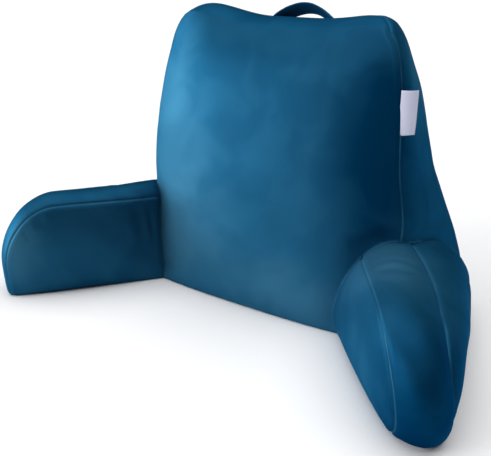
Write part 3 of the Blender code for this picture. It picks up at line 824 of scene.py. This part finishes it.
# --- Tag ------------------------------------------------------------------------------------------------------
# A pale woven tape, folded in two, with both ends sewn into the gusset's front seam so that its fold points out.
# The front of it is bare.
TAG_LOW = 0.3145              # heights of its lower and upper edges
TAG_HIGH = 0.3775
TAG_LENGTH = 0.0265           # of one leaf
TAG_INSIDE = 0.0070           # how far each leaf runs on into the seam
TAG_START = math.radians(12.0)     # the arc on which the leaves bend back round the gusset
TAG_END = math.radians(54.0)
TAG_LEAF = 0.00040            # thickness of one leaf
TAG_FOLD = 0.00060            # radius of the fold, to the middle of the tape
TAG_LEAN = 0.0045             # how much further out the top is than the bottom
TAG_LEAN_FROM = 0.15          # how far up it stands where the seam is
TAG_TAPER = 0.0012            # how much less of that is left at the fold
TAG_WAVE = 0.0006
TAG_WAVES = 0.9
TAG_WAVE_START = 0.6
TAG_BACK_DROP = 0.0022        # how much lower the back leaf lies at the seam
TAG_STEPS = (120, 40, 2)      # along the tape, up, through


def place_tag(along, up, through):
    """Box to folded tape: along 0 seam..0.5 fold..1 seam, up 0..1, through -1 inside..+1 outside.

    Both leaves bend round the gusset on an arc. The back leaf follows behind the front one, and the two are
    joined by a half circle at the fold. A sine wave, wider towards the fold, runs up them.
    """
    turn = math.pi * TAG_FOLD
    total = 2 * TAG_LENGTH + turn
    run = along * total
    angle_fold = np.clip((run - TAG_LENGTH) / turn, 0, 1) * math.pi
    out = np.where(run < TAG_LENGTH + turn, np.minimum(run, TAG_LENGTH), total - run)
    back = (1 - np.cos(angle_fold)) / 2
    bend = TAG_END - TAG_START
    radius = TAG_LENGTH / bend
    angle = TAG_START + bend * out / TAG_LENGTH
    thick = through * TAG_LEAF / 2
    side = TAG_FOLD * np.cos(angle_fold) + thick * np.cos(angle_fold)
    beyond = TAG_FOLD * np.sin(angle_fold) + thick * np.sin(angle_fold)

    lean = TAG_LEAN * (up - TAG_LEAN_FROM) - TAG_TAPER * up * out / TAG_LENGTH
    height = TAG_LOW + (TAG_HIGH - TAG_LOW) * up - TAG_BACK_DROP * back * (1 - out / TAG_LENGTH)
    seam = place_backrest(np.ones_like(up), -np.ones_like(up), height / BACK_HEIGHT)
    x = seam[:, 0] - TAG_INSIDE + radius * (np.sin(angle) - math.sin(TAG_START)) + lean
    y = seam[:, 1] + radius * (math.cos(TAG_START) - np.cos(angle))
    x = x + side * np.sin(angle) + beyond * np.cos(angle)
    y = y - side * np.cos(angle) + beyond * np.sin(angle)
    wave = TAG_WAVE * np.sin(2 * np.pi * up * TAG_WAVES + TAG_WAVE_START) * out / TAG_LENGTH
    return np.stack([x + wave, y - wave, height], axis=1)


TAPE_COLOUR = (0.60, 0.62, 0.78, 1.0)
TAPE_ROUGHNESS = 0.55
TAPE_GLOSS = 0.3
TAPE_RELIEF = 0.0002          # height of the ribs, and how much of it shows
TAPE_RELIEF_SHARE = 0.35
TAPE_RIBS = 520.0


def tape_material():
    """Woven tape: fine ribs across it in a satin weave."""
    material = bpy.data.materials.new("tag_ribbon")
    material.use_nodes = True
    nodes, links = material.node_tree.nodes, material.node_tree.links
    shader = nodes["Principled BSDF"]
    shader.inputs["Base Color"].default_value = TAPE_COLOUR
    shader.inputs["Roughness"].default_value = TAPE_ROUGHNESS
    shader.inputs["Specular IOR Level"].default_value = TAPE_GLOSS
    place = nodes.new("ShaderNodeTexCoord")
    weave = nodes.new("ShaderNodeTexWave")
    weave.bands_direction = "Z"
    weave.inputs["Scale"].default_value = TAPE_RIBS
    weave.inputs["Distortion"].default_value = 0.4
    links.new(place.outputs["Object"], weave.inputs["Vector"])
    bump = nodes.new("ShaderNodeBump")
    bump.inputs["Strength"].default_value = TAPE_RELIEF_SHARE
    bump.inputs["Distance"].default_value = TAPE_RELIEF
    links.new(weave.outputs["Fac"], bump.inputs["Height"])
    links.new(bump.outputs["Normal"], shader.inputs["Normal"])
    return material


def make_tag():
    """The folded tape, on an even grid."""
    place, _, quads = box_skin(np.linspace(0, 1, TAG_STEPS[0] + 1), np.linspace(0, 1, TAG_STEPS[1] + 1),
                               np.linspace(-1, 1, TAG_STEPS[2] + 1))
    tag = make_piece("tag_tape", place_tag(*place.T), quads, tape_material())
    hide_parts("label")
    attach(tag, "root")


make_tag()

# --- Stage ----------------------------------------------------------------------------------------------------
# A plain pale floor and soft studio light: two low ones at the left, a wide one overhead, and a faint one at the
# right that lifts the side gusset.
FLOOR_COLOUR = (0.95, 0.95, 0.955, 1.0)
FLOOR_ROUGHNESS = 0.9
FLOOR_HALF = 40.0
LIGHTS = (                    # name, direction that it comes from, strength and softness in degrees
    ("overhead", (0.0, 0.1, 1.0), 2.66, 80),
    ("front_left", (-0.7, -0.7, 0.2), 2.75, 40),
    ("far_left", (-1.0, -0.2, 0.1), 1.8, 40),
    ("fill", (0.8, 0.6, 0.4), 0.12, 40),
)
ROOM_COLOUR = (1.0, 1.0, 1.0, 1.0)
ROOM_LIGHT = 0.04


def make_floor():
    """A flat square, under the pillow and far past what the camera sees."""
    half = FLOOR_HALF
    mesh = bpy.data.meshes.new("floor")
    mesh.from_pydata([(-half, -half, 0), (half, -half, 0), (half, half, 0), (-half, half, 0)], [], [(0, 1, 2, 3)])
    floor = bpy.data.objects.new("floor", mesh)
    material = bpy.data.materials.new("floor")
    material.use_nodes = True
    shader = material.node_tree.nodes["Principled BSDF"]
    shader.inputs["Base Color"].default_value = FLOOR_COLOUR
    shader.inputs["Roughness"].default_value = FLOOR_ROUGHNESS
    mesh.materials.append(material)
    bpy.context.scene.collection.objects.link(floor)


def add_sun(name, source, strength, softness):
    """A far soft light that comes from the direction source, spread over softness degrees."""
    lamp = bpy.data.lights.new(name, "SUN")
    lamp.energy = strength
    lamp.angle = math.radians(softness)
    light = bpy.data.objects.new(name, lamp)
    light.rotation_mode = "QUATERNION"
    light.rotation_quaternion = (-Vector(source)).to_track_quat("-Z", "Y")
    bpy.context.scene.collection.objects.link(light)


make_floor()
for light in LIGHTS:
    add_sun(*light)
world = bpy.data.worlds.new("studio")
world.use_nodes = True
room = world.node_tree.nodes["Background"]
room.inputs["Color"].default_value = ROOM_COLOUR
room.inputs["Strength"].default_value = ROOM_LIGHT
bpy.context.scene.world = world
bpy.context.scene.view_settings.view_transform = "Standard"
